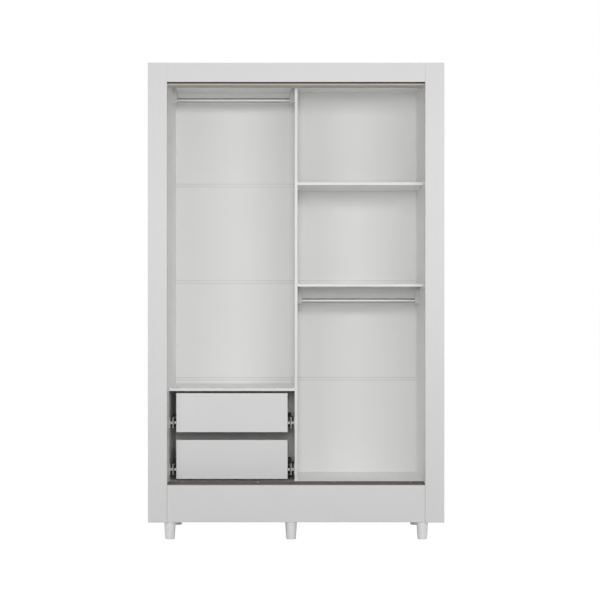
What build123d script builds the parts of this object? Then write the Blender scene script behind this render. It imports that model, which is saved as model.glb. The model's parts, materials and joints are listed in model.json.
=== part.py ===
"""A free-standing two-bay wardrobe for sliding doors, with two drawers, shelves and hanging rods.

Millimetres. X runs to the right, Y to the back and Z up. The origin lies on the floor, under the middle
of the body.
"""

import os
from typing import NamedTuple

from build123d import *

os.makedirs("parts", exist_ok=True)

# Board thicknesses and overall depth
board = 15
inner_board = 12
back_thickness = 3
overall_depth = 500

# Clear spaces of the inside, from the floor up
bay_width = 515
lower_space = 800
middle_space = 405
upper_space = 386

# Front frame and base
stile_width = 77
stile_thickness = 25
fascia_height = 77
fascia_thickness = 22
plinth_height = 150
plinth_thickness = 15
floor_above_plinth = 3
edge_round = 0.8

# Door tracks
track_width = 80
track_height = 30
track_wall = 2
track_setback = 8
track_below_fascia = 10
track_end_gap = 0.5
bottom_track_plate = 1.5
bottom_track_rib = 2.5
shelf_behind_track = 10

# Back boards and the strips that join them
back_board_count = 4
strip_height = 16
strip_flange = 1
strip_web = 1.2
strip_clearance = 0.5

# Hanging rods and their brackets
rod_diameter = 19
rod_wall = 1
rod_drop = 57.5
bracket_low_screw_height = 22
bracket_high_screw_height = 40
rod_clearance = 0.4
rod_end_gap = 0.5
bracket_reach = 20
bracket_wall = 3
bracket_chin = 6
bracket_corner = 8
bracket_arch_height = 42

# Feet
foot_height = 70
foot_top_diameter = 48
foot_sole_diameter = 39
foot_edge = 2
foot_inset = 0.5
foot_behind_plinth_face = 2
rear_foot_inset = 9
centre_foot_offset = 20.5
foot_block_size = 50
foot_block_height = 40
foot_stud_in_foot = 35
foot_stud_in_body = 32

# Drawers
drawer_height = 160
drawer_above_floor = 10
drawer_gap = 32
drawer_top_gap = 9
drawer_back_gap = 26.5
drawer_side_rise = 12
drawer_side_height = 120
drawer_bottom_rise = 8
drawer_groove_depth = 6
drawer_groove_clearance = 0.1
drawer_bottom_edge_gap = 0.5
drawer_low_dowel_height = 40
drawer_high_dowel_height = 90

# Drawer runners, three nested channels a side
runner_short_of_box = 30
runner_behind_front = 10
runner_width = 13
runner_height = 45
runner_steel = 1.2
runner_play = 0.5
runner_web_gap = 0.8
runner_centre_rise = 38
runner_screw_inset = 35
spacer_width = 16
spacer_flange = 3
spacer_web = 10
runner_peg_diameter = 5
runner_peg_length = 8

# Frame brackets
angle_leg = 30
angle_width = 18
angle_steel = 2
angle_screw_from_corner = 20
angle_from_panel_end = 165

# Fasteners
carcass_screw_diameter = 5
carcass_screw_length = 47
carcass_head_diameter = 9
carcass_head_height = 3
fitting_screw_diameter = 3.4
fitting_screw_length = 12
fitting_head_diameter = 6.8
fitting_head_height = 2
runner_screw_length = 25
runner_head_diameter = 6.4
nail_diameter = 1.6
nail_length = 15
nail_head_diameter = 4
nail_head_height = 0.8
dowel_diameter = 6
shelf_dowel_length = 26
shelf_dowel_in_divider = 8
drawer_dowel_length = 24
drawer_dowel_in_front = 12
drawer_dowel_in_side = 8
foot_stud_diameter = 6

# Fastener layout
bore_clearance = 0.05
screw_from_edge = 55
nail_from_corner = 40
nails_per_board_side = 4
nails_per_rail = 8
track_screw_columns = 4


class Fastener(NamedTuple):
    """A round shank below its seat, with a head of its own above the seat, or none."""

    diameter: float
    length: float
    head_diameter: float = 0
    head_height: float = 0


carcass_screw = Fastener(carcass_screw_diameter, carcass_screw_length, carcass_head_diameter, carcass_head_height)
fitting_screw = Fastener(fitting_screw_diameter, fitting_screw_length, fitting_head_diameter, fitting_head_height)
runner_screw = Fastener(fitting_screw_diameter, runner_screw_length, runner_head_diameter, runner_steel)
runner_peg = Fastener(runner_peg_diameter, runner_peg_length)
back_nail = Fastener(nail_diameter, nail_length, nail_head_diameter, nail_head_height)
shelf_dowel = Fastener(dowel_diameter, shelf_dowel_length)
drawer_dowel = Fastener(dowel_diameter, drawer_dowel_length)
foot_stud = Fastener(foot_stud_diameter, foot_stud_in_foot + foot_stud_in_body)

# Widths
opening_half = bay_width + inner_board / 2
frame_half = opening_half + stile_width
carcass_half = opening_half + board
divider_half = inner_board / 2
drawer_width = bay_width - 2 * (spacer_width + runner_width)
left_bay = (-opening_half, -divider_half)
right_bay = (divider_half, opening_half)
between_sides = (-opening_half, opening_half)

# Depths
frame_front = -overall_depth / 2
carcass_front = frame_front + stile_thickness
carcass_back = overall_depth / 2 - strip_flange - back_thickness
back_board_rear = carcass_back + back_thickness
track_front = carcass_front + track_setback
track_back = track_front + track_width
shelf_front = track_back + shelf_behind_track
shelf_back = carcass_back - strip_flange - strip_clearance
rear_plinth_front = carcass_back - board
carcass_depth = (carcass_front, carcass_back)
shelf_depth = (shelf_front, shelf_back)
rod_y = (shelf_front + shelf_back) / 2
drawer_front_y = (shelf_front, shelf_front + board)
drawer_box_y = (drawer_front_y[1], shelf_back - drawer_back_gap)
runner_front = shelf_front + runner_behind_front
runner_length = drawer_box_y[1] - drawer_box_y[0] - runner_short_of_box
runner_y = (runner_front, runner_front + runner_length)

# Heights
plinth_top = foot_height + plinth_height
floor = plinth_top + floor_above_plinth
base_under = floor - board
lower_shelf_z = (floor + lower_space, floor + lower_space + inner_board)
upper_shelf_z = (lower_shelf_z[1] + middle_space, lower_shelf_z[1] + middle_space + inner_board)
track_bottom = upper_shelf_z[1] + upper_space
ceiling = track_bottom + track_height
carcass_top = ceiling + board
fascia_bottom = track_bottom + track_below_fascia
frame_top = fascia_bottom + fascia_height
drawer_bottoms = {"lower": floor + drawer_above_floor}
drawer_bottoms["upper"] = drawer_bottoms["lower"] + drawer_height + drawer_gap
drawer_shelf_bottom = drawer_bottoms["upper"] + drawer_height + drawer_top_gap
drawer_shelf_z = (drawer_shelf_bottom, drawer_shelf_bottom + inner_board)


def middle(span):
    return (span[0] + span[1]) / 2


def extent(span):
    return span[1] - span[0]


def even_steps(first, last, count):
    """Evenly spaced values from first to last."""
    return [first + (last - first) * step / (count - 1) for step in range(count)]


def seat(point, into):
    """The plane under a fastener's head, with its normal along the shank."""
    return Plane(origin=point, z_dir=into)


# Where each kind of fastener sits
top_rows = (carcass_front + screw_from_edge, middle(carcass_depth), carcass_back - screw_from_edge)
shelf_rows = (shelf_front + screw_from_edge, shelf_back - screw_from_edge)
rear_plinth_rows = (foot_height + screw_from_edge, base_under - screw_from_edge)
screw_seat_x = carcass_half - carcass_screw.head_height


def side_screws(side, rows, z):
    """Screws through one side panel, in a row at one height."""
    return [seat((side * screw_seat_x, y, z), (-side, 0, 0)) for y in rows]


carcass_screw_seats = []
for side in (-1, 1):
    carcass_screw_seats += side_screws(side, top_rows, ceiling + board / 2)
    carcass_screw_seats += side_screws(side, top_rows, floor - board / 2)
    for row_z in rear_plinth_rows:
        carcass_screw_seats += side_screws(side, [rear_plinth_front + board / 2], row_z)
carcass_screw_seats += side_screws(1, shelf_rows, middle(lower_shelf_z))
carcass_screw_seats += side_screws(1, shelf_rows, middle(upper_shelf_z))
carcass_screw_seats += side_screws(-1, shelf_rows, middle(drawer_shelf_z))
for y in shelf_rows:
    carcass_screw_seats.append(seat((0, y, carcass_top - carcass_screw.head_height), (0, 0, -1)))
    carcass_screw_seats.append(seat((0, y, base_under + carcass_screw.head_height), (0, 0, 1)))

dowel_start = divider_half - shelf_dowel_in_divider
shelf_dowel_seats = []
for y in shelf_rows:
    shelf_dowel_seats.append(seat((dowel_start, y, middle(lower_shelf_z)), (1, 0, 0)))
    shelf_dowel_seats.append(seat((dowel_start, y, middle(upper_shelf_z)), (1, 0, 0)))
    shelf_dowel_seats.append(seat((-dowel_start, y, middle(drawer_shelf_z)), (-1, 0, 0)))

rod_heights = {"left": ceiling - rod_drop, "right": lower_shelf_z[0] - rod_drop}
bays = {"left": left_bay, "right": right_bay}
bracket_screw_heights = (bracket_low_screw_height, bracket_high_screw_height)
fitting_screw_seats = []
for bay_name, bay in bays.items():
    for wall_x, outward in ((bay[0], 1), (bay[1], -1)):
        for height in bracket_screw_heights:
            point = (wall_x + outward * bracket_wall, rod_y, rod_heights[bay_name] + height)
            fitting_screw_seats.append(seat(point, (-outward, 0, 0)))

channel_width = (track_width - 3 * track_wall) / 2
front_channel_y = track_front + track_wall + channel_width / 2
rear_channel_y = track_back - track_wall - channel_width / 2
track_ends = (-opening_half + screw_from_edge, opening_half - screw_from_edge)
track_columns = even_steps(*track_ends, track_screw_columns)
for x in track_columns:
    for y in (front_channel_y, rear_channel_y):
        fitting_screw_seats.append(seat((x, y, ceiling - track_wall), (0, 0, 1)))
    plate_top = floor + bottom_track_plate
    fitting_screw_seats.append(seat((x, middle((front_channel_y, rear_channel_y)), plate_top), (0, 0, -1)))

low_angle_z = foot_height + angle_from_panel_end
high_angle_z = ceiling - angle_from_panel_end
angle_heights = (low_angle_z, middle((low_angle_z, high_angle_z)), high_angle_z)
fascia_columns = (-bay_width / 2, 0, bay_width / 2)
plinth_columns = (-bay_width / 2, bay_width / 2)
on_leg = angle_screw_from_corner
for z in angle_heights:
    for side in (-1, 1):
        stile_point = (side * (carcass_half + on_leg), carcass_front + angle_steel, z)
        panel_point = (side * (carcass_half + angle_steel), carcass_front + on_leg, z)
        fitting_screw_seats.append(seat(stile_point, (0, -1, 0)))
        fitting_screw_seats.append(seat(panel_point, (-side, 0, 0)))
for x in fascia_columns:
    fitting_screw_seats.append(seat((x, carcass_front + angle_steel, carcass_top + on_leg), (0, -1, 0)))
    fitting_screw_seats.append(seat((x, carcass_front + on_leg, carcass_top + angle_steel), (0, 0, -1)))
for x in plinth_columns:
    fitting_screw_seats.append(seat((x, carcass_front + angle_steel, base_under - on_leg), (0, -1, 0)))
    fitting_screw_seats.append(seat((x, carcass_front + on_leg, base_under - angle_steel), (0, 0, 1)))

back_pitch = (carcass_top - base_under) / back_board_count
back_nail_seats = []
for index in range(back_board_count):
    low = base_under + index * back_pitch + nail_from_corner
    high = base_under + (index + 1) * back_pitch - nail_from_corner
    for z in even_steps(low, high, nails_per_board_side):
        for side in (-1, 1):
            back_nail_seats.append(seat((side * (carcass_half - board / 2), back_board_rear, z), (0, -1, 0)))
for x in even_steps(-opening_half + nail_from_corner, opening_half - nail_from_corner, nails_per_rail):
    for z in (floor - board / 2, ceiling + board / 2):
        back_nail_seats.append(seat((x, back_board_rear, z), (0, -1, 0)))

corner_foot_x = carcass_half - foot_inset - foot_top_diameter / 2
foot_columns = {"left": -corner_foot_x, "centre": -centre_foot_offset, "right": corner_foot_x}
foot_rows = {
    "front": carcass_front - plinth_thickness + foot_behind_plinth_face + foot_top_diameter / 2,
    "rear": carcass_back - rear_foot_inset - foot_top_diameter / 2,
}
foot_stud_seats = [
    seat((x, y, foot_height - foot_stud_in_foot), (0, 0, 1))
    for x in foot_columns.values()
    for y in foot_rows.values()
]

drawer_x = (middle(left_bay) - drawer_width / 2, middle(left_bay) + drawer_width / 2)
runner_rows = (runner_y[0] + runner_screw_inset, runner_y[1] - runner_screw_inset)
# Each side's runner is measured from its spacer's face, towards the drawer
runner_sides = ((left_bay[0] + spacer_width, 1), (left_bay[1] - spacer_width, -1))
runner_screw_seats = [
    seat((face, y, bottom + runner_centre_rise), (-towards, 0, 0))
    for bottom in drawer_bottoms.values()
    for face, towards in runner_sides
    for y in runner_rows
]

fastened = (
    (carcass_screw, carcass_screw_seats),
    (shelf_dowel, shelf_dowel_seats),
    (fitting_screw, fitting_screw_seats),
    (back_nail, back_nail_seats),
    (foot_stud, foot_stud_seats),
    (runner_screw, runner_screw_seats),
)


def finish(piece, label):
    """Name the piece and write it out."""
    piece.part.label = label
    export_step(piece.part, f"parts/{label}.step")


def shanks(fastener, seats, clearance=0.0, mode=Mode.ADD):
    with Locations(*seats):
        Cylinder(
            fastener.diameter / 2 + clearance,
            fastener.length + clearance,
            align=(Align.CENTER, Align.CENTER, Align.MIN),
            mode=mode,
        )


def heads(fastener, seats, clearance=0.0, mode=Mode.ADD):
    with Locations(*seats):
        Cylinder(
            fastener.head_diameter / 2 + clearance,
            fastener.head_height,
            align=(Align.CENTER, Align.CENTER, Align.MAX),
            mode=mode,
        )


def fastener_group(label, fastener, seats):
    """One node of identical fasteners."""
    with BuildPart() as group:
        shanks(fastener, seats)
        if fastener.head_height:
            heads(fastener, seats)
    finish(group, label)


def entering(fastener, seats, spans):
    """The seats whose fastener, head and shank, passes into a board with these spans."""
    inside = []
    for place in seats:
        start = place.origin - place.z_dir * fastener.head_height
        end = place.origin + place.z_dir * fastener.length
        ends = zip(tuple(start), tuple(end), spans)
        if all(min(a, b) < span[1] and max(a, b) > span[0] for a, b, span in ends):
            inside.append(place)
    return inside


def bore_for(kinds, spans):
    """Cut the holes of every fastener that enters the current board."""
    for fastener, seats in kinds:
        found = entering(fastener, seats, spans)
        if found:
            shanks(fastener, found, bore_clearance, Mode.SUBTRACT)
            if fastener.head_height:
                heads(fastener, found, bore_clearance, Mode.SUBTRACT)


def panel(label, x, y, z, kinds=fastened, rounded=False, groove=None):
    """A flat board between three spans, bored for its fasteners, with an optional groove between three more."""
    with BuildPart() as piece:
        with BuildSketch(Plane.XY.offset(z[0])):
            with Locations((middle(x), middle(y))):
                Rectangle(extent(x), extent(y))
        extrude(amount=extent(z))
        if rounded:
            fillet(piece.faces().sort_by(Axis.Y)[0].edges(), edge_round)
        if groove:
            with BuildSketch(Plane.XY.offset(groove[2][0])):
                with Locations((middle(groove[0]), middle(groove[1]))):
                    Rectangle(extent(groove[0]), extent(groove[1]))
            extrude(amount=extent(groove[2]), mode=Mode.SUBTRACT)
        bore_for(kinds, (x, y, z))
    finish(piece, label)


# Carcass boards
for name, side in (("left", -1), ("right", 1)):
    side_x = tuple(sorted((side * opening_half, side * carcass_half)))
    panel(f"{name}_side_panel", side_x, carcass_depth, (foot_height, carcass_top))
panel("top_panel", between_sides, carcass_depth, (ceiling, carcass_top))
panel("base_panel", between_sides, carcass_depth, (base_under, floor))
panel("centre_divider", (-divider_half, divider_half), shelf_depth, (floor, ceiling), rounded=True)
panel("lower_shelf", right_bay, shelf_depth, lower_shelf_z, rounded=True)
panel("upper_shelf", right_bay, shelf_depth, upper_shelf_z, rounded=True)
panel("drawer_top_shelf", left_bay, shelf_depth, drawer_shelf_z, rounded=True)

# Base below the floor
under_base = (foot_height, base_under)
support_x = (-centre_foot_offset - board / 2, -centre_foot_offset + board / 2)
panel("rear_plinth", between_sides, (rear_plinth_front, carcass_back), under_base)
panel("base_centre_support", support_x, (carcass_front, rear_plinth_front), under_base)

with BuildPart() as foot_blocks:
    block_x = opening_half - foot_block_size / 2
    front_block_y = carcass_front + foot_block_size / 2
    rear_block_y = rear_plinth_front - foot_block_size / 2
    with BuildSketch(Plane.XY.offset(foot_height)):
        with Locations(*[(x, y) for x in (-block_x, block_x) for y in (front_block_y, rear_block_y)]):
            Rectangle(foot_block_size, foot_block_size)
    extrude(amount=foot_block_height)
    block_spans = (between_sides, carcass_depth, (foot_height, foot_height + foot_block_height))
    corner_studs = [place for place in foot_stud_seats if abs(place.origin.X) > bay_width / 2]
    bore_for([(foot_stud, corner_studs)], block_spans)
finish(foot_blocks, "foot_blocks")

# Front frame
for name, side in (("left", -1), ("right", 1)):
    stile_x = tuple(sorted((side * opening_half, side * frame_half)))
    panel(f"{name}_stile", stile_x, (frame_front, carcass_front), (foot_height, frame_top), rounded=True)
fascia_y = (carcass_front - fascia_thickness, carcass_front)
panel("top_fascia", between_sides, fascia_y, (fascia_bottom, frame_top), rounded=True)
plinth_y = (carcass_front - plinth_thickness, carcass_front)
panel("plinth", between_sides, plinth_y, (foot_height, plinth_top), rounded=True)

with BuildPart() as frame_brackets:
    for z in angle_heights:
        for side in (-1, 1):
            with BuildSketch(Plane.XY.offset(z - angle_width / 2)):
                corner = (side * carcass_half, carcass_front)
                with Locations(corner):
                    leg_align = Align.MIN if side > 0 else Align.MAX
                    Rectangle(angle_leg, angle_steel, align=(leg_align, Align.MIN))
                    Rectangle(angle_steel, angle_leg, align=(leg_align, Align.MIN))
            extrude(amount=angle_width)
    level_angles = ((fascia_columns, carcass_top, Align.MIN), (plinth_columns, base_under, Align.MAX))
    for columns, corner_z, rising in level_angles:
        for x in columns:
            with BuildSketch(Plane.YZ.offset(x - angle_width / 2)):
                with Locations((carcass_front, corner_z)):
                    Rectangle(angle_leg, angle_steel, align=(Align.MIN, rising))
                    Rectangle(angle_steel, angle_leg, align=(Align.MIN, rising))
            extrude(amount=angle_width)
    angle_seats = [place for place in fitting_screw_seats if place.origin.Y <= carcass_front + angle_leg]
    shanks(fitting_screw, angle_seats, bore_clearance, Mode.SUBTRACT)
finish(frame_brackets, "frame_brackets")

# Back boards and joint strips
for index in range(back_board_count):
    low_gap = strip_web / 2 if index else 0
    high_gap = strip_web / 2 if index < back_board_count - 1 else 0
    low = base_under + index * back_pitch + low_gap
    high = base_under + (index + 1) * back_pitch - high_gap
    back_y = (carcass_back, back_board_rear)
    panel(f"back_board_{index + 1}", (-carcass_half, carcass_half), back_y, (low, high))

strip_length = 2 * (opening_half - strip_clearance)
for index in range(1, back_board_count):
    with BuildPart() as strip:
        with BuildSketch(Plane.YZ.offset(-strip_length / 2)):
            with Locations((carcass_back + back_thickness / 2, base_under + index * back_pitch)):
                Rectangle(back_thickness + 2 * strip_flange, strip_web)
                for offset_y in (-1, 1):
                    with Locations((offset_y * (back_thickness + strip_flange) / 2, 0)):
                        Rectangle(strip_flange, strip_height)
        extrude(amount=strip_length)
    finish(strip, f"back_joint_strip_{index}")

# Door tracks
track_length = 2 * (opening_half - track_end_gap)
with BuildPart() as top_track:
    with BuildSketch(Plane.YZ.offset(-track_length / 2)):
        with Locations((track_front, ceiling)):
            Rectangle(track_width, track_wall, align=(Align.MIN, Align.MAX))
        for fin_front in (track_front, track_front + track_wall + channel_width, track_back - track_wall):
            with Locations((fin_front, ceiling)):
                Rectangle(track_wall, track_height, align=(Align.MIN, Align.MAX))
    extrude(amount=track_length)
    track_span = (between_sides, (track_front, track_back), (track_bottom, ceiling))
    bore_for([(fitting_screw, fitting_screw_seats)], track_span)
finish(top_track, "top_track")

with BuildPart() as bottom_track:
    track_top = floor + bottom_track_plate
    with BuildSketch(Plane.YZ.offset(-track_length / 2)):
        lip_front = carcass_front - bottom_track_plate
        with Locations((lip_front, floor)):
            Rectangle(track_back - lip_front, bottom_track_plate, align=(Align.MIN, Align.MIN))
        with Locations((lip_front, plinth_top)):
            Rectangle(bottom_track_plate, track_top - plinth_top, align=(Align.MIN, Align.MIN))
        for rail_y in (front_channel_y, rear_channel_y):
            with Locations((rail_y, track_top)):
                Rectangle(bottom_track_rib, bottom_track_rib, align=(Align.CENTER, Align.MIN))
    extrude(amount=track_length)
    plate_span = (between_sides, (carcass_front, track_back), (floor, track_top))
    bore_for([(fitting_screw, fitting_screw_seats)], plate_span)
finish(bottom_track, "bottom_track")

# Hanging rods and brackets
rod_radius = rod_diameter / 2
bracket_width = rod_diameter + 2 * (rod_clearance + bracket_wall)
for bay_name, bay in bays.items():
    rod_z = rod_heights[bay_name]
    rod_x = (bay[0] + bracket_wall + rod_end_gap, bay[1] - bracket_wall - rod_end_gap)
    with BuildPart() as rod:
        with BuildSketch(Plane.YZ.offset(rod_x[0])):
            with Locations((rod_y, rod_z)):
                Circle(rod_radius)
                Circle(rod_radius - rod_wall, mode=Mode.SUBTRACT)
        extrude(amount=extent(rod_x))
    finish(rod, f"{bay_name}_hanging_rod")

    bracket_bottom = rod_z - rod_radius - rod_clearance - bracket_chin
    bracket_top = rod_z + rod_drop
    with BuildPart() as brackets:
        with BuildSketch(Plane.YZ.offset(bay[0])):
            with Locations((rod_y, bracket_bottom)):
                outline = Rectangle(bracket_width, bracket_top - bracket_bottom, align=(Align.CENTER, Align.MIN))
            fillet(outline.vertices().group_by(Axis.Z)[0], bracket_corner)
        extrude(amount=bracket_reach)
        with BuildSketch(Plane.YZ.offset(bay[0] + bracket_wall)):
            with Locations((rod_y, rod_z)):
                Circle(rod_radius + rod_clearance)
                Rectangle(2 * (rod_radius + rod_clearance), rod_drop, align=(Align.CENTER, Align.MIN))
        extrude(amount=bracket_reach - bracket_wall, mode=Mode.SUBTRACT)
        # The cheeks arch from the wall plate out to their full reach
        arch_x = bay[0] + bracket_wall
        arch_z = bracket_top - bracket_arch_height
        with BuildSketch(Plane.XZ.offset(-rod_y)):
            with BuildLine():
                EllipticalCenterArc((arch_x, arch_z), bracket_reach - bracket_wall, bracket_arch_height, arc_size=90)
                Polyline(
                    (arch_x, bracket_top),
                    (bay[0], bracket_top),
                    (bay[0], bracket_bottom),
                    (bay[0] + bracket_reach, bracket_bottom),
                    (bay[0] + bracket_reach, arch_z),
                )
            make_face()
        extrude(amount=bracket_width, both=True, mode=Mode.INTERSECT)
        bracket_y = (rod_y - bracket_width / 2, rod_y + bracket_width / 2)
        own_span = ((bay[0], middle(bay)), bracket_y, (bracket_bottom, bracket_top))
        bore_for([(fitting_screw, fitting_screw_seats)], own_span)
        mirror(about=Plane.YZ.offset(middle(bay)))
    finish(brackets, f"{bay_name}_rod_brackets")

# Feet
for row, y in foot_rows.items():
    for column, x in foot_columns.items():
        with BuildPart() as foot:
            with BuildSketch(Plane.XY):
                with Locations((x, y)):
                    Circle(foot_sole_diameter / 2)
            with BuildSketch(Plane.XY.offset(foot_height)):
                with Locations((x, y)):
                    Circle(foot_top_diameter / 2)
            loft(ruled=True)
            fillet(foot.edges().filter_by(GeomType.CIRCLE), foot_edge)
            own_stud = [place for place in foot_stud_seats if (place.origin.X, place.origin.Y) == (x, y)]
            shanks(foot_stud, own_stud, bore_clearance, Mode.SUBTRACT)
        finish(foot, f"{row}_{column}_foot")

# Fixed members of the runners
with BuildPart() as runner_spacers:
    for bottom in drawer_bottoms.values():
        centre_z = bottom + runner_centre_rise
        for face, towards in runner_sides:
            inner = Align.MAX if towards > 0 else Align.MIN
            outer = Align.MIN if towards > 0 else Align.MAX
            with BuildSketch(Plane.XZ.offset(-runner_y[0])):
                with Locations((face, centre_z)):
                    Rectangle(spacer_width, spacer_web, align=(inner, Align.CENTER))
                    Rectangle(spacer_flange, runner_height, align=(inner, Align.CENTER))
                with Locations((face - towards * spacer_width, centre_z)):
                    Rectangle(spacer_flange, runner_height, align=(outer, Align.CENTER))
            extrude(amount=-runner_length)
    shanks(runner_screw, runner_screw_seats, bore_clearance, Mode.SUBTRACT)
finish(runner_spacers, "runner_spacers")


def channel_rail(face, towards, centre_z, web_start, flange_end, height):
    """A steel channel along the runner; its web starts and its flanges end so far from the spacer's face."""
    web_side = Align.MIN if (flange_end - web_start) * towards > 0 else Align.MAX
    with BuildSketch(Plane.XZ.offset(-runner_y[0])) as section:
        with Locations((face + towards * web_start, centre_z)):
            Rectangle(runner_steel, height, align=(web_side, Align.CENTER))
        for edge_z, edge_align in ((centre_z + height / 2, Align.MAX), (centre_z - height / 2, Align.MIN)):
            with Locations((face + towards * web_start, edge_z)):
                Rectangle(abs(flange_end - web_start), runner_steel, align=(web_side, edge_align))
    extrude(section.sketch, amount=-runner_length)


nest_step = 2 * (runner_steel + runner_play)
middle_web = runner_steel + runner_web_gap
middle_height = runner_height - nest_step
inner_height = middle_height - nest_step
outer_flange_end = runner_width - 2 * runner_steel
middle_flange_end = runner_width - runner_web_gap
inner_flange_end = middle_web + runner_steel + runner_web_gap

with BuildPart() as outer_rails:
    for bottom in drawer_bottoms.values():
        for face, towards in runner_sides:
            channel_rail(face, towards, bottom + runner_centre_rise, 0, outer_flange_end, runner_height)
    heads(runner_screw, runner_screw_seats, bore_clearance, Mode.SUBTRACT)
finish(outer_rails, "outer_rails")

# Drawers with their moving rails
for drawer, bottom in drawer_bottoms.items():
    centre_z = bottom + runner_centre_rise
    with BuildPart() as middle_rails:
        for face, towards in runner_sides:
            channel_rail(face, towards, centre_z, middle_web, middle_flange_end, middle_height)
    finish(middle_rails, f"{drawer}_middle_rails")

    peg_seats = [
        seat((face + towards * runner_width, y, centre_z), (towards, 0, 0))
        for face, towards in runner_sides
        for y in runner_rows
    ]
    with BuildPart() as inner_rails:
        for face, towards in runner_sides:
            channel_rail(face, towards, centre_z, runner_width, inner_flange_end, inner_height)
        shanks(runner_peg, peg_seats)
    finish(inner_rails, f"{drawer}_inner_rails")

    box_back_y = (drawer_box_y[1] - inner_board, drawer_box_y[1])
    side_z = (bottom + drawer_side_rise, bottom + drawer_side_rise + drawer_side_height)
    groove_bottom = side_z[0] + drawer_bottom_rise
    groove_z = (groove_bottom, groove_bottom + back_thickness + 2 * drawer_groove_clearance)
    left_side_x = (drawer_x[0], drawer_x[0] + inner_board)
    right_side_x = (drawer_x[1] - inner_board, drawer_x[1])
    box_inside_x = (left_side_x[1], right_side_x[0])

    dowel_seats = []
    for height in (drawer_low_dowel_height, drawer_high_dowel_height):
        for side_x in (left_side_x, right_side_x):
            front_start = drawer_front_y[1] - drawer_dowel_in_front
            dowel_seats.append(seat((middle(side_x), front_start, side_z[0] + height), (0, 1, 0)))
        back_joint_y = middle(box_back_y)
        left_start = left_side_x[1] - drawer_dowel_in_side
        right_start = right_side_x[0] + drawer_dowel_in_side
        dowel_seats.append(seat((left_start, back_joint_y, side_z[0] + height), (1, 0, 0)))
        dowel_seats.append(seat((right_start, back_joint_y, side_z[0] + height), (-1, 0, 0)))
    fastener_group(f"{drawer}_drawer_dowels", drawer_dowel, dowel_seats)
    drawer_kinds = ((drawer_dowel, dowel_seats), (runner_peg, peg_seats))

    groove_x = (box_inside_x[0] - drawer_groove_depth, box_inside_x[1] + drawer_groove_depth)
    groove_y = (drawer_front_y[1] - drawer_groove_depth, drawer_box_y[1])

    groove = (groove_x, groove_y, groove_z)
    front_z = (bottom, bottom + drawer_height)
    panel(f"{drawer}_drawer_front", drawer_x, drawer_front_y, front_z, drawer_kinds, rounded=True, groove=groove)
    panel(f"{drawer}_drawer_left_side", left_side_x, drawer_box_y, side_z, drawer_kinds, groove=groove)
    panel(f"{drawer}_drawer_right_side", right_side_x, drawer_box_y, side_z, drawer_kinds, groove=groove)
    panel(f"{drawer}_drawer_back", box_inside_x, box_back_y, (groove_z[1], side_z[1]), drawer_kinds)
    bottom_x = (groove_x[0] + drawer_bottom_edge_gap, groove_x[1] - drawer_bottom_edge_gap)
    bottom_y = (groove_y[0] + drawer_bottom_edge_gap, groove_y[1])
    bottom_z = (groove_z[0] + drawer_groove_clearance, groove_z[1] - drawer_groove_clearance)
    panel(f"{drawer}_drawer_bottom", bottom_x, bottom_y, bottom_z, ())

# Fasteners of the carcass
fastener_group("carcass_screws", carcass_screw, carcass_screw_seats)
fastener_group("shelf_dowels", shelf_dowel, shelf_dowel_seats)
fastener_group("fitting_screws", fitting_screw, fitting_screw_seats)
fastener_group("back_nails", back_nail, back_nail_seats)
fastener_group("foot_studs", foot_stud, foot_stud_seats)
fastener_group("runner_screws", runner_screw, runner_screw_seats)
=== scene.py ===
import json
import math

import bpy
from mathutils import Matrix, Vector


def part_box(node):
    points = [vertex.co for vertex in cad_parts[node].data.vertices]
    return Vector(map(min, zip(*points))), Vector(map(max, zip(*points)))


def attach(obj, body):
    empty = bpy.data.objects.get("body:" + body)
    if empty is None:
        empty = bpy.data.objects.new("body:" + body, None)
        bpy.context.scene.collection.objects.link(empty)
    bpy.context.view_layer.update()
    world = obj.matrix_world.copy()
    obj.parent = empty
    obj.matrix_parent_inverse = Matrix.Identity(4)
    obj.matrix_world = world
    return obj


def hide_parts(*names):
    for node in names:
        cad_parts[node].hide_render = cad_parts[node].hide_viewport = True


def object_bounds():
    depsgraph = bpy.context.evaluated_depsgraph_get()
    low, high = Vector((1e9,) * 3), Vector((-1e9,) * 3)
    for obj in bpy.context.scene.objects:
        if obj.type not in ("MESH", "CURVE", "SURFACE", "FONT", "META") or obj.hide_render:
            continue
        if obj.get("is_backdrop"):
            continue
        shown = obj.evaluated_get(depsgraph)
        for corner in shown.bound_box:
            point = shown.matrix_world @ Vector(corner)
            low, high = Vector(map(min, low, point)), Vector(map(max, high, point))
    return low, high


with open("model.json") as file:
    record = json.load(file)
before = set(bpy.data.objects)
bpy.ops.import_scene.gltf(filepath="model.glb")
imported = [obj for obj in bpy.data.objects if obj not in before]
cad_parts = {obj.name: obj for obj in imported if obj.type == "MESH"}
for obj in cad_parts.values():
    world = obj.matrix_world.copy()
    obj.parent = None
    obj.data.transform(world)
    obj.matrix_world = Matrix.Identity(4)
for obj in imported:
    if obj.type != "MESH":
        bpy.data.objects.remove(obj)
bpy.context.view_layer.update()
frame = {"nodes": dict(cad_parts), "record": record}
nodes = frame["nodes"]
MM = 0.001
# Edges that turn by less than this are shaded as round
ROUND_BELOW = math.radians(35)


def linear(hex_colour):
    """An sRGB hex colour as linear red, green, blue and alpha."""
    parts = [int(hex_colour[i:i + 2], 16) / 255 for i in (1, 3, 5)]
    return [p / 12.92 if p <= 0.04045 else ((p + 0.055) / 1.055) ** 2.4 for p in parts] + [1.0]


def add_node(tree, kind, sockets=None, **settings):
    """Adds one node, sets it up and links or fills its inputs."""
    node = tree.nodes.new(kind)
    for name, value in settings.items():
        setattr(node, name, value)
    for key, value in (sockets or {}).items():
        if isinstance(value, bpy.types.NodeSocket):
            tree.links.new(value, node.inputs[key])
        else:
            node.inputs[key].default_value = value
    return node


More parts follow.
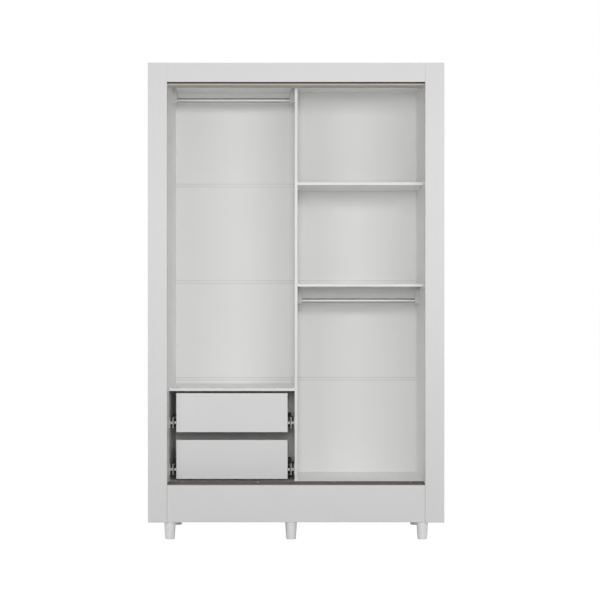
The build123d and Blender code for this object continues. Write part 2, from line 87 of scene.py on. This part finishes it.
def new_material(name):
    """An empty node material with its shader, and the place on the wardrobe in metres."""
    material = bpy.data.materials.new(name)
    material.use_nodes = True
    tree = material.node_tree
    tree.nodes.clear()
    shader = add_node(tree, "ShaderNodeBsdfPrincipled")
    add_node(tree, "ShaderNodeOutputMaterial", {"Surface": shader.outputs["BSDF"]})
    place = add_node(tree, "ShaderNodeTexCoord").outputs["Object"]
    return material, tree, shader, place


# Melamine-faced particle board: a pressed paper film with a fine pearl, matt and even, a plastic band glued
# on the front edges, a shade greyer than the film, and a bare chip core under the boards that stand on the
# feet. The pearl is 0.4 mm in life and is drawn ten times coarser so that it shows.
def melamine_board():
    material, tree, shader, place = new_material("melamine_faced_board")
    # Both masks reach a little into the board, so that the whole of the edge or underside is in them
    band_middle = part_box("upper_shelf")[0].y + 0.1 * MM
    band_reach = 0.4 * MM
    core_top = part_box("left_side_panel")[0].z + 0.2 * MM
    pearl = add_node(tree, "ShaderNodeTexNoise", {"Vector": place, "Scale": 1 / (4 * MM), "Detail": 3.0})
    cloud = add_node(tree, "ShaderNodeTexNoise", {"Vector": place, "Scale": 1 / (180 * MM), "Detail": 2.0})
    film = add_node(
        tree, "ShaderNodeMix",
        {0: cloud.outputs["Fac"], 6: linear("#F5F5F4"), 7: linear("#F7F7F6")}, data_type="RGBA",
    )
    axes = add_node(tree, "ShaderNodeSeparateXYZ", {"Vector": place})
    edge = add_node(
        tree, "ShaderNodeMath",
        {0: axes.outputs["Y"], 1: band_middle, 2: band_reach}, operation="COMPARE",
    )
    banded = add_node(
        tree, "ShaderNodeMix",
        {0: edge.outputs[0], 6: film.outputs[2], 7: linear("#E0E0DF")}, data_type="RGBA",
    )
    chip = add_node(tree, "ShaderNodeTexVoronoi", {"Vector": place, "Scale": 1 / (3 * MM)})
    core = add_node(
        tree, "ShaderNodeMix",
        {0: chip.outputs["Distance"], 6: linear("#A9875C"), 7: linear("#D2B78D")}, data_type="RGBA",
    )
    under = add_node(tree, "ShaderNodeMath", {0: axes.outputs["Z"], 1: core_top}, operation="LESS_THAN")
    colour = add_node(
        tree, "ShaderNodeMix",
        {0: under.outputs[0], 6: banded.outputs[2], 7: core.outputs[2]}, data_type="RGBA",
    )
    rough = add_node(
        tree, "ShaderNodeMapRange",
        {"Value": pearl.outputs["Fac"], "To Min": 0.3, "To Max": 0.44},
    )
    bump = add_node(
        tree, "ShaderNodeBump",
        {"Height": pearl.outputs["Fac"], "Distance": 0.05 * MM, "Strength": 0.25},
    )
    tree.links.new(colour.outputs[2], shader.inputs["Base Color"])
    tree.links.new(rough.outputs[0], shader.inputs["Roughness"])
    tree.links.new(bump.outputs["Normal"], shader.inputs["Normal"])
    shader.inputs["IOR"].default_value = 1.5
    return material


# Sprayed lacquer, satin white, with the faint orange peel of the spray. The peel is 2 mm across in life and
# is drawn at 5 mm so that it shows.
def white_lacquer(name, dark, light):
    material, tree, shader, place = new_material(name)
    peel = add_node(tree, "ShaderNodeTexNoise", {"Vector": place, "Scale": 1 / (5 * MM), "Detail": 1.0})
    cloud = add_node(tree, "ShaderNodeTexNoise", {"Vector": place, "Scale": 1 / (240 * MM), "Detail": 2.0})
    colour = add_node(
        tree, "ShaderNodeMix",
        {0: cloud.outputs["Fac"], 6: linear(dark), 7: linear(light)}, data_type="RGBA",
    )
    rough = add_node(
        tree, "ShaderNodeMapRange",
        {"Value": peel.outputs["Fac"], "To Min": 0.36, "To Max": 0.46},
    )
    bump = add_node(
        tree, "ShaderNodeBump",
        {"Height": peel.outputs["Fac"], "Distance": 0.06 * MM, "Strength": 0.2},
    )
    tree.links.new(colour.outputs[2], shader.inputs["Base Color"])
    tree.links.new(rough.outputs[0], shader.inputs["Roughness"])
    tree.links.new(bump.outputs["Normal"], shader.inputs["Normal"])
    shader.inputs["IOR"].default_value = 1.5
    return material


# Thin hardboard: white paint on the face that shows inside, bare brown fibre with a wire-screen print
# behind. The screen's wires are 1.5 mm apart in life and are drawn 6 mm apart so that they show.
def hardboard():
    material, tree, shader, place = new_material("painted_hardboard")
    board_low, board_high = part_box("back_board_1")
    board_middle = (board_low.y + board_high.y) / 2
    wire_rate = 2 * math.pi / (6 * MM)
    fibre = add_node(
        tree, "ShaderNodeTexNoise",
        {"Vector": place, "Scale": 1 / (7 * MM), "Detail": 5.0, "Roughness": 0.7},
    )
    cloud = add_node(tree, "ShaderNodeTexNoise", {"Vector": place, "Scale": 1 / (220 * MM), "Detail": 2.0})
    paint = add_node(
        tree, "ShaderNodeMix",
        {0: cloud.outputs["Fac"], 6: linear("#E3E3E2"), 7: linear("#E6E6E5")}, data_type="RGBA",
    )
    brown = add_node(
        tree, "ShaderNodeMix",
        {0: fibre.outputs["Fac"], 6: linear("#6E4F33"), 7: linear("#9A7650")}, data_type="RGBA",
    )
    axes = add_node(tree, "ShaderNodeSeparateXYZ", {"Vector": place})
    wires_x = add_node(tree, "ShaderNodeMath", {0: axes.outputs["X"], 1: wire_rate}, operation="MULTIPLY")
    wires_z = add_node(tree, "ShaderNodeMath", {0: axes.outputs["Z"], 1: wire_rate}, operation="MULTIPLY")
    wave_x = add_node(tree, "ShaderNodeMath", {0: wires_x.outputs[0]}, operation="SINE")
    wave_z = add_node(tree, "ShaderNodeMath", {0: wires_z.outputs[0]}, operation="SINE")
    screen = add_node(
        tree, "ShaderNodeMath", {0: wave_x.outputs[0], 1: wave_z.outputs[0]}, operation="MULTIPLY",
    )
    bare = add_node(
        tree, "ShaderNodeMath", {0: axes.outputs["Y"], 1: board_middle}, operation="GREATER_THAN",
    )
    colour = add_node(
        tree, "ShaderNodeMix",
        {0: bare.outputs[0], 6: paint.outputs[2], 7: brown.outputs[2]}, data_type="RGBA",
    )
    screen_print = add_node(
        tree, "ShaderNodeMath", {0: screen.outputs[0], 1: bare.outputs[0]}, operation="MULTIPLY",
    )
    height = add_node(
        tree, "ShaderNodeMath", {0: fibre.outputs["Fac"], 1: screen_print.outputs[0]}, operation="ADD",
    )
    bump = add_node(
        tree, "ShaderNodeBump",
        {"Height": height.outputs[0], "Distance": 0.12 * MM, "Strength": 0.25},
    )
    rough = add_node(
        tree, "ShaderNodeMapRange", {"Value": bare.outputs[0], "To Min": 0.5, "To Max": 0.85},
    )
    tree.links.new(colour.outputs[2], shader.inputs["Base Color"])
    tree.links.new(rough.outputs[0], shader.inputs["Roughness"])
    tree.links.new(bump.outputs["Normal"], shader.inputs["Normal"])
    shader.inputs["Specular IOR Level"].default_value = 0.3
    return material


# Moulded or extruded plastic: an even body colour with a fine spark-eroded grain, drawn at 1.5 mm. Given a
# painted shade colour, it is the strip that joins the back boards, with a thin line of painted shade along
# both lips, where the proud lips cast shadow.
def plastic(name, dark, light, roughness, painted_lip_shade=None):
    material, tree, shader, place = new_material(name)
    grain = add_node(tree, "ShaderNodeTexNoise", {"Vector": place, "Scale": 1 / (1.5 * MM), "Detail": 2.0})
    colour = add_node(
        tree, "ShaderNodeMix",
        {0: grain.outputs["Fac"], 6: linear(dark), 7: linear(light)}, data_type="RGBA",
    )
    if painted_lip_shade:
        # Painted shade: a darker band 4 mm tall along the top and bottom lip of each strip, where the lips
        # cast shadow
        # The strips are evenly spaced, so one folded measure serves all of them
        strip_low, strip_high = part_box("back_joint_strip_1")
        strip_middle = (strip_low.z + strip_high.z) / 2
        half_pitch = abs(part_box("back_joint_strip_2")[0].z - strip_low.z) / 2
        lip_height = 4 * MM
        lip_start = (strip_high.z - strip_low.z) / 2 - lip_height
        axes = add_node(tree, "ShaderNodeSeparateXYZ", {"Vector": place})
        rise = add_node(
            tree, "ShaderNodeMath", {0: axes.outputs["Z"], 1: strip_middle}, operation="SUBTRACT",
        )
        off_middle = add_node(
            tree, "ShaderNodeMath", {0: rise.outputs[0], 1: half_pitch}, operation="PINGPONG",
        )
        lip_shade_mask = add_node(
            tree, "ShaderNodeMath", {0: off_middle.outputs[0], 1: lip_start}, operation="GREATER_THAN",
        )
        colour = add_node(
            tree, "ShaderNodeMix",
            {0: lip_shade_mask.outputs[0], 6: colour.outputs[2], 7: linear(painted_lip_shade)}, data_type="RGBA",
        )
    bump = add_node(
        tree, "ShaderNodeBump",
        {"Height": grain.outputs["Fac"], "Distance": 0.03 * MM, "Strength": 0.3},
    )
    tree.links.new(colour.outputs[2], shader.inputs["Base Color"])
    tree.links.new(bump.outputs["Normal"], shader.inputs["Normal"])
    shader.inputs["Roughness"].default_value = roughness
    shader.inputs["IOR"].default_value = 1.46
    return material


# Drawn or rolled metal: fine lines along the length, left by the die or the rolls, under plating, anodising
# or a baked coat. The lines are 0.1 mm wide in life and are drawn 1.5 mm wide so that they show.
def drawn_metal(name, along, dark, light, smooth, coarse, metallic):
    material, tree, shader, place = new_material(name)
    stretch = [1.0 if axis == along else 1 / (1.5 * MM) for axis in "XYZ"]
    lengthwise = add_node(tree, "ShaderNodeMapping", {"Vector": place, "Scale": stretch})
    lines = add_node(
        tree, "ShaderNodeTexNoise", {"Vector": lengthwise.outputs[0], "Scale": 1.0, "Detail": 4.0},
    )
    colour = add_node(
        tree, "ShaderNodeMix",
        {0: lines.outputs["Fac"], 6: linear(dark), 7: linear(light)}, data_type="RGBA",
    )
    rough = add_node(
        tree, "ShaderNodeMapRange",
        {"Value": lines.outputs["Fac"], "To Min": smooth, "To Max": coarse},
    )
    bump = add_node(
        tree, "ShaderNodeBump",
        {"Height": lines.outputs["Fac"], "Distance": 0.02 * MM, "Strength": 0.3},
    )
    tree.links.new(colour.outputs[2], shader.inputs["Base Color"])
    tree.links.new(rough.outputs[0], shader.inputs["Roughness"])
    tree.links.new(bump.outputs["Normal"], shader.inputs["Normal"])
    shader.inputs["Metallic"].default_value = metallic
    return material


# Raw wood: growth rings cut along the grain, with fine fibres, dull and unsealed.
def raw_wood(name, dark, light, ring, along):
    material, tree, shader, place = new_material(name)
    along_scale = 0.06
    stretch = [along_scale if axis == along else 1.0 for axis in "XYZ"]
    grain_place = add_node(tree, "ShaderNodeMapping", {"Vector": place, "Scale": stretch})
    rings = add_node(
        tree, "ShaderNodeTexNoise",
        {"Vector": grain_place.outputs[0], "Scale": 1 / ring, "Detail": 4.0, "Distortion": 0.6},
    )
    colour = add_node(
        tree, "ShaderNodeMix",
        {0: rings.outputs["Fac"], 6: linear(dark), 7: linear(light)}, data_type="RGBA",
    )
    bump = add_node(
        tree, "ShaderNodeBump",
        {"Height": rings.outputs["Fac"], "Distance": 0.1 * MM, "Strength": 0.3},
    )
    tree.links.new(colour.outputs[2], shader.inputs["Base Color"])
    tree.links.new(bump.outputs["Normal"], shader.inputs["Normal"])
    shader.inputs["Roughness"].default_value = 0.75
    return material


buffer_finish = plastic("moulded_acetal_white", "#C6C6C4", "#D0D0CE", 0.4)
# The trim's near-black colour is partly painted shade, standing in for the shadow line under the fascia
trim_and_shade_finish = drawn_metal("dark_bronze_trim_and_painted_shade", "X", "#2E2A25", "#38332D", 0.5, 0.6, 0.0)
fastener_finish = drawn_metal("zinc_plated_steel", "Z", "#A9AAAB", "#C6C7C8", 0.25, 0.4, 1.0)
finishes = {
    "white_board": melamine_board(),
    "white_front": white_lacquer("lacquered_fibreboard", "#DADADA", "#DEDEDE"),
    "white_hardboard": hardboard(),
    # D3D3D2 is the painted shade along the lips of the back joint strips
    "strip_plastic": plastic("extruded_pvc_white", "#DCDCDB", "#E4E4E3", 0.45, painted_lip_shade="#D3D3D2"),
    "bracket_plastic": plastic("moulded_abs_grey", "#B9B9B8", "#C6C6C5", 0.5),
    "spacer_plastic": plastic("extruded_pvc_grey", "#A6A6A3", "#B4B4B1", 0.5),
    "rod_aluminium": drawn_metal("satin_anodised_aluminium", "X", "#ABABAB", "#C0C0C0", 0.5, 0.6, 1.0),
    "top_track_aluminium": drawn_metal(
        "champagne_anodised_aluminium", "X", "#C6C0B8", "#D2CCC4", 0.45, 0.55, 0.0,
    ),
    "track_aluminium": drawn_metal("bronze_anodised_aluminium", "X", "#4E463D", "#5E554B", 0.5, 0.6, 0.0),
    "runner_steel": drawn_metal("black_coated_rolled_steel", "Y", "#2E2F31", "#3B3C3E", 0.4, 0.5, 0.0),
    "fastener_steel": fastener_finish,
    "foot_lacquer": white_lacquer("lacquered_turned_wood", "#EDEDED", "#F1F1F1"),
    "block_wood": raw_wood("raw_pine", "#B98E55", "#DDBB85", 9 * MM, "X"),
    "dowel_wood": raw_wood("raw_beech", "#B58A5A", "#D4AE80", 3 * MM, "Y"),
}
for subpart in frame["record"]["subparts"]:
    mesh = nodes[subpart["node"]].data
    mesh.materials.clear()
    mesh.materials.append(finishes[subpart["material_slot"]])


def only(piece):
    """Selects one piece and makes it active."""
    bpy.ops.object.select_all(action="DESELECT")
    piece.select_set(True)
    bpy.context.view_layer.objects.active = piece


def pick_faces(piece, test):
    """In edit mode, selects the faces whose normal passes the test."""
    bpy.ops.mesh.select_all(action="DESELECT")
    bpy.ops.object.mode_set(mode="OBJECT")
    for face in piece.data.polygons:
        face.select = test(face.normal)
    bpy.ops.object.mode_set(mode="EDIT")
    bpy.ops.mesh.select_mode(type="FACE")


def add_block(name, centre, size):
    """A block at its place, with its origin at the frame's, left in edit mode with all of it selected."""
    bpy.ops.object.select_all(action="DESELECT")
    bpy.ops.mesh.primitive_cube_add(size=1, location=centre)
    block = bpy.context.object
    block.name = name
    block.scale = size
    bpy.ops.object.transform_apply(location=True, rotation=True, scale=True)
    bpy.ops.object.mode_set(mode="EDIT")
    bpy.ops.mesh.select_all(action="SELECT")
    return block


def fastener_places(node_name):
    """For each fastener of a CAD node: the middle of its head's top, and the way it goes in."""
    loose = bpy.data.objects.new("loose_fasteners", nodes[node_name].data.copy())
    bpy.context.scene.collection.objects.link(loose)
    only(loose)
    bpy.ops.object.mode_set(mode="EDIT")
    bpy.ops.mesh.select_all(action="SELECT")
    bpy.ops.mesh.remove_doubles(threshold=0.001 * MM)
    bpy.ops.mesh.separate(type="LOOSE")
    bpy.ops.object.mode_set(mode="OBJECT")
    places = []
    for piece in bpy.context.selected_objects:
        corners = [vertex.co for vertex in piece.data.vertices]
        low = Vector([min(c[i] for c in corners) for i in range(3)])
        high = Vector([max(c[i] for c in corners) for i in range(3)])
        size = high - low
        along = max(range(3), key=lambda i: size[i])
        centre = (low + high) / 2
        # The corner farthest from the axis is on the head
        wide = max(corners, key=lambda c: sum((c[i] - centre[i]) ** 2 for i in range(3) if i != along))
        inward = Vector((0, 0, 0))
        inward[along] = -1.0 if wide[along] > centre[along] else 1.0
        top = centre.copy()
        top[along] = high[along] if wide[along] > centre[along] else low[along]
        places.append((top, inward))
    bpy.ops.object.delete()
    return sorted(places, key=lambda place: tuple(place[0]))


def model_fastener(head_radius, head_height, rim, cross, shank_radius, length):
    """A fastener that points down from the origin: rounded head with a cross recess, shank and tip."""
    head_sides = 16
    tip_length = 2.5 * shank_radius
    tip_share = 0.12
    recess_floor_share = 0.6
    bpy.ops.object.select_all(action="DESELECT")
    bpy.ops.mesh.primitive_cylinder_add(
        vertices=head_sides, radius=head_radius, depth=head_height, location=(0, 0, -head_height / 2),
    )
    fastener = bpy.context.object
    bpy.ops.object.transform_apply(location=True, rotation=False, scale=False)
    bpy.ops.object.mode_set(mode="EDIT")
    pick_faces(fastener, lambda normal: normal.z > 0.9)
    bpy.ops.mesh.bevel(offset=rim, segments=2, affect="EDGES")
    pick_faces(fastener, lambda normal: normal.z < -0.9)
    bpy.ops.mesh.inset(thickness=head_radius - shank_radius, depth=0)
    shank_move = (0, 0, head_height + tip_length - length)
    bpy.ops.mesh.extrude_region_move(TRANSFORM_OT_translate={"value": shank_move})
    bpy.ops.mesh.extrude_region_move(TRANSFORM_OT_translate={"value": (0, 0, -tip_length)})
    bpy.ops.transform.resize(value=(tip_share, tip_share, 1), center_override=(0, 0, -length))
    bpy.ops.object.mode_set(mode="OBJECT")
    if cross:
        bpy.ops.mesh.primitive_cube_add(size=cross, location=(0, 0, 0))
        cutter = bpy.context.object
        bpy.ops.object.mode_set(mode="EDIT")
        pick_faces(cutter, lambda normal: abs(normal.z) < 0.1)
        bpy.ops.mesh.extrude_faces_indiv()
        bpy.ops.transform.shrink_fatten(value=cross)
        pick_faces(cutter, lambda normal: normal.z < -0.9)
        bpy.ops.transform.resize(
            value=(recess_floor_share, recess_floor_share, 1), center_override=(0, 0, 0),
        )
        bpy.ops.object.mode_set(mode="OBJECT")
        recess = fastener.modifiers.new("recess", "BOOLEAN")
        recess.operation = "DIFFERENCE"
        recess.object = cutter
        only(fastener)
        bpy.ops.object.modifier_apply(modifier=recess.name)
        only(cutter)
        bpy.ops.object.delete()
    only(fastener)
    bpy.ops.object.shade_smooth_by_angle(angle=ROUND_BELOW)
    return fastener


def drive_in(node_name, fastener):
    """Puts a copy of a modelled fastener at each place of its CAD node and joins them to one piece."""
    # Hand-driven heads stop at any angle
    stop_degrees = 37
    copies = []
    for index, (top, inward) in enumerate(fastener_places(node_name)):
        copy = fastener.copy()
        copy.data = fastener.data.copy()
        bpy.context.scene.collection.objects.link(copy)
        turn = Vector((0, 0, -1)).rotation_difference(inward).to_matrix().to_4x4()
        stop = Matrix.Rotation(math.radians(stop_degrees * index), 4, "Z")
        copy.data.transform(Matrix.Translation(top) @ turn @ stop)
        copies.append(copy)
    bpy.ops.object.select_all(action="DESELECT")
    for copy in copies:
        copy.select_set(True)
    bpy.context.view_layer.objects.active = copies[0]
    bpy.ops.object.join()
    driven = copies[0]
    driven.name = f"driven_{node_name}"
    driven.data.materials.clear()
    driven.data.materials.append(fastener_finish)
    only(fastener)
    bpy.ops.object.delete()
    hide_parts(node_name)
    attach(driven, "carcass")


# Fastener sizes in millimetres; a nail has no cross recess
fastener_sizes = {
    "carcass_screws": {
        "head_radius": 4.5, "head_height": 3, "rim": 0.4, "cross": 1.5,
        "shank_radius": 2.5, "length": 50,
    },
    "fitting_screws": {
        "head_radius": 3.4, "head_height": 2, "rim": 0.9, "cross": 1.1,
        "shank_radius": 1.7, "length": 14,
    },
    "runner_screws": {
        "head_radius": 3.2, "head_height": 1.2, "rim": 0.4, "cross": 1.1,
        "shank_radius": 1.7, "length": 26.2,
    },
    "back_nails": {
        "head_radius": 2, "head_height": 0.8, "rim": 0.35, "cross": 0,
        "shank_radius": 0.8, "length": 15.8,
    },
}
for node_name, sizes in fastener_sizes.items():
    drive_in(node_name, model_fastener(**{part: size * MM for part, size in sizes.items()}))


# White end buffers with a dimple in front, pressed into the front of each drawer's inner rails
buffer_width, buffer_depth, buffer_height = 7.8 * MM, 10 * MM, 11 * MM
buffer_rounding = 1.2 * MM
dimple_rim = 0.9 * MM
dimple_slope = 0.4 * MM
dimple_depth = 0.8 * MM
for drawer in ("lower", "upper"):
    low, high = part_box(f"{drawer}_inner_rails")
    rail_middle = (low.z + high.z) / 2
    for side, centre_x in (("left", low.x + buffer_width / 2), ("right", high.x - buffer_width / 2)):
        buffer = add_block(
            f"{drawer}_{side}_runner_buffer",
            (centre_x, low.y + buffer_depth / 2, rail_middle),
            (buffer_width, buffer_depth, buffer_height),
        )
        bpy.ops.mesh.bevel(offset=buffer_rounding, segments=3, affect="EDGES")
        pick_faces(buffer, lambda normal: normal.y < -0.99)
        bpy.ops.mesh.inset(thickness=dimple_rim, depth=0)
        bpy.ops.mesh.inset(thickness=dimple_slope, depth=-dimple_depth)
        bpy.ops.object.mode_set(mode="OBJECT")
        bpy.ops.object.shade_smooth_by_angle(angle=ROUND_BELOW)
        buffer.data.materials.append(buffer_finish)
        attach(buffer, f"{drawer}_drawer")


# Dark edge trim under the fascia, with a rounded nose in front and a shallow channel below. Its near-black
# colour is dark bronze and also painted shade: it stands in for the shadow line under the fascia.
fascia_low, fascia_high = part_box("top_fascia")
track_low, track_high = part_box("top_track")
trim_height = 3.5 * MM
trim_setback = 1.5 * MM
trim_rounding = 0.8 * MM
channel_rim = 3 * MM
channel_slope = 0.6 * MM
channel_depth = 0.6 * MM
trim_front = fascia_low.y + trim_setback
trim_back = fascia_high.y - trim_setback
head_trim = add_block(
    "head_trim",
    (0, (trim_front + trim_back) / 2, fascia_low.z - trim_height / 2),
    (track_high.x - track_low.x, trim_back - trim_front, trim_height),
)
pick_faces(head_trim, lambda normal: normal.y < -0.9)
bpy.ops.mesh.bevel(offset=trim_rounding, segments=3, affect="EDGES")
pick_faces(head_trim, lambda normal: normal.z < -0.99)
bpy.ops.mesh.inset(thickness=channel_rim, depth=0)
bpy.ops.mesh.inset(thickness=channel_slope, depth=-channel_depth)
bpy.ops.object.mode_set(mode="OBJECT")
bpy.ops.object.shade_smooth_by_angle(angle=ROUND_BELOW)
head_trim.data.materials.append(trim_and_shade_finish)
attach(head_trim, "carcass")


def looking_rays(tree):
    """1 for rays from the camera, off glossy surfaces and through clear ones, 0 for those that light."""
    rays = add_node(tree, "ShaderNodeLightPath")
    looking = add_node(
        tree, "ShaderNodeMath",
        {0: rays.outputs["Is Camera Ray"], 1: rays.outputs["Is Glossy Ray"]}, operation="MAXIMUM",
    )
    looking_through = add_node(
        tree, "ShaderNodeMath",
        {0: looking.outputs[0], 1: rays.outputs["Is Transmission Ray"]}, operation="MAXIMUM",
    )
    return looking_through.outputs[0]


# White studio floor, far wider than any view. Most of what is seen of it glows white, and the rest is paint
# that takes the soft shadows.
floor_size = 400
glow_strength = 1.16
glow_share = 0.85
bpy.ops.object.select_all(action="DESELECT")
bpy.ops.mesh.primitive_plane_add(size=floor_size, location=(0, 0, 0))
studio_floor = bpy.context.object
studio_floor.name = "studio_floor"
floor_material = bpy.data.materials.new("studio_floor")
floor_material.use_nodes = True
floor_tree = floor_material.node_tree
floor_tree.nodes.clear()
paint = add_node(floor_tree, "ShaderNodeBsdfDiffuse", {"Color": linear("#BEBEBE")})
glow = add_node(floor_tree, "ShaderNodeEmission", {"Color": linear("#FFFFFF"), "Strength": glow_strength})
share = add_node(
    floor_tree, "ShaderNodeMath", {0: looking_rays(floor_tree), 1: glow_share}, operation="MULTIPLY",
)
mixed = add_node(
    floor_tree, "ShaderNodeMixShader", {0: share.outputs[0], 1: paint.outputs[0], 2: glow.outputs[0]},
)
add_node(floor_tree, "ShaderNodeOutputMaterial", {"Surface": mixed.outputs[0]})
studio_floor.data.materials.append(floor_material)
studio_floor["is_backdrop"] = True

# White surround, dimmer as a light than it looks
lighting_level = 0.3
looking_level = 1.0
world = bpy.data.worlds.new("studio_white")
world.use_nodes = True
bpy.context.scene.world = world
sky = world.node_tree
sky.nodes.clear()
level = add_node(
    sky, "ShaderNodeMapRange",
    {"Value": looking_rays(sky), "To Min": lighting_level, "To Max": looking_level},
)
dome = add_node(sky, "ShaderNodeBackground", {"Color": linear("#FFFFFF"), "Strength": level.outputs[0]})
add_node(sky, "ShaderNodeOutputWorld", {"Surface": dome.outputs[0]})


def softbox(name, place, aim, width, height, watts):
    """A rectangular studio lamp that looks at a point."""
    lamp = bpy.data.lights.new(name, "AREA")
    lamp.shape = "RECTANGLE"
    lamp.size = width
    lamp.size_y = height
    lamp.energy = watts
    holder = bpy.data.objects.new(name, lamp)
    bpy.context.scene.collection.objects.link(holder)
    holder.location = place
    holder.rotation_euler = (Vector(aim) - Vector(place)).to_track_quat("-Z", "Y").to_euler()


wardrobe_middle = (0, 0, 1.0)
softbox("key_softbox", (0, -6.2, 1.38), wardrobe_middle, width=0.7, height=1.2, watts=94)
softbox("right_softbox", (1.7, -5.0, 2.2), wardrobe_middle, width=2.2, height=0.7, watts=51)
softbox("left_softbox", (-2.0, -5.0, 2.2), wardrobe_middle, width=1.6, height=0.7, watts=28)
softbox("rear_right_softbox", (4.2, 2.4, 1.4), wardrobe_middle, width=1.6, height=0.8, watts=80)
softbox("rear_left_softbox", (-4.2, 2.4, 1.4), wardrobe_middle, width=1.6, height=0.8, watts=80)
softbox("overhead_softbox", (0, 1.2, 4.4), aim=(0, 0.6, 0), width=2.0, height=1.2, watts=24)

# Level camera straight in front, with a long lens
camera_distance = 6.815
camera_height = 0.968
camera = bpy.data.cameras.new("front_camera")
camera.sensor_width = 36
camera.lens = 97.7
camera.shift_x = 0.0065
front_camera = bpy.data.objects.new("front_camera", camera)
bpy.context.scene.collection.objects.link(front_camera)
front_camera.location = (0, -camera_distance, camera_height)
front_camera.rotation_euler = (math.radians(90), 0, 0)
bpy.context.scene.camera = front_camera
bpy.context.scene.view_settings.view_transform = "Standard"

low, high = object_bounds()
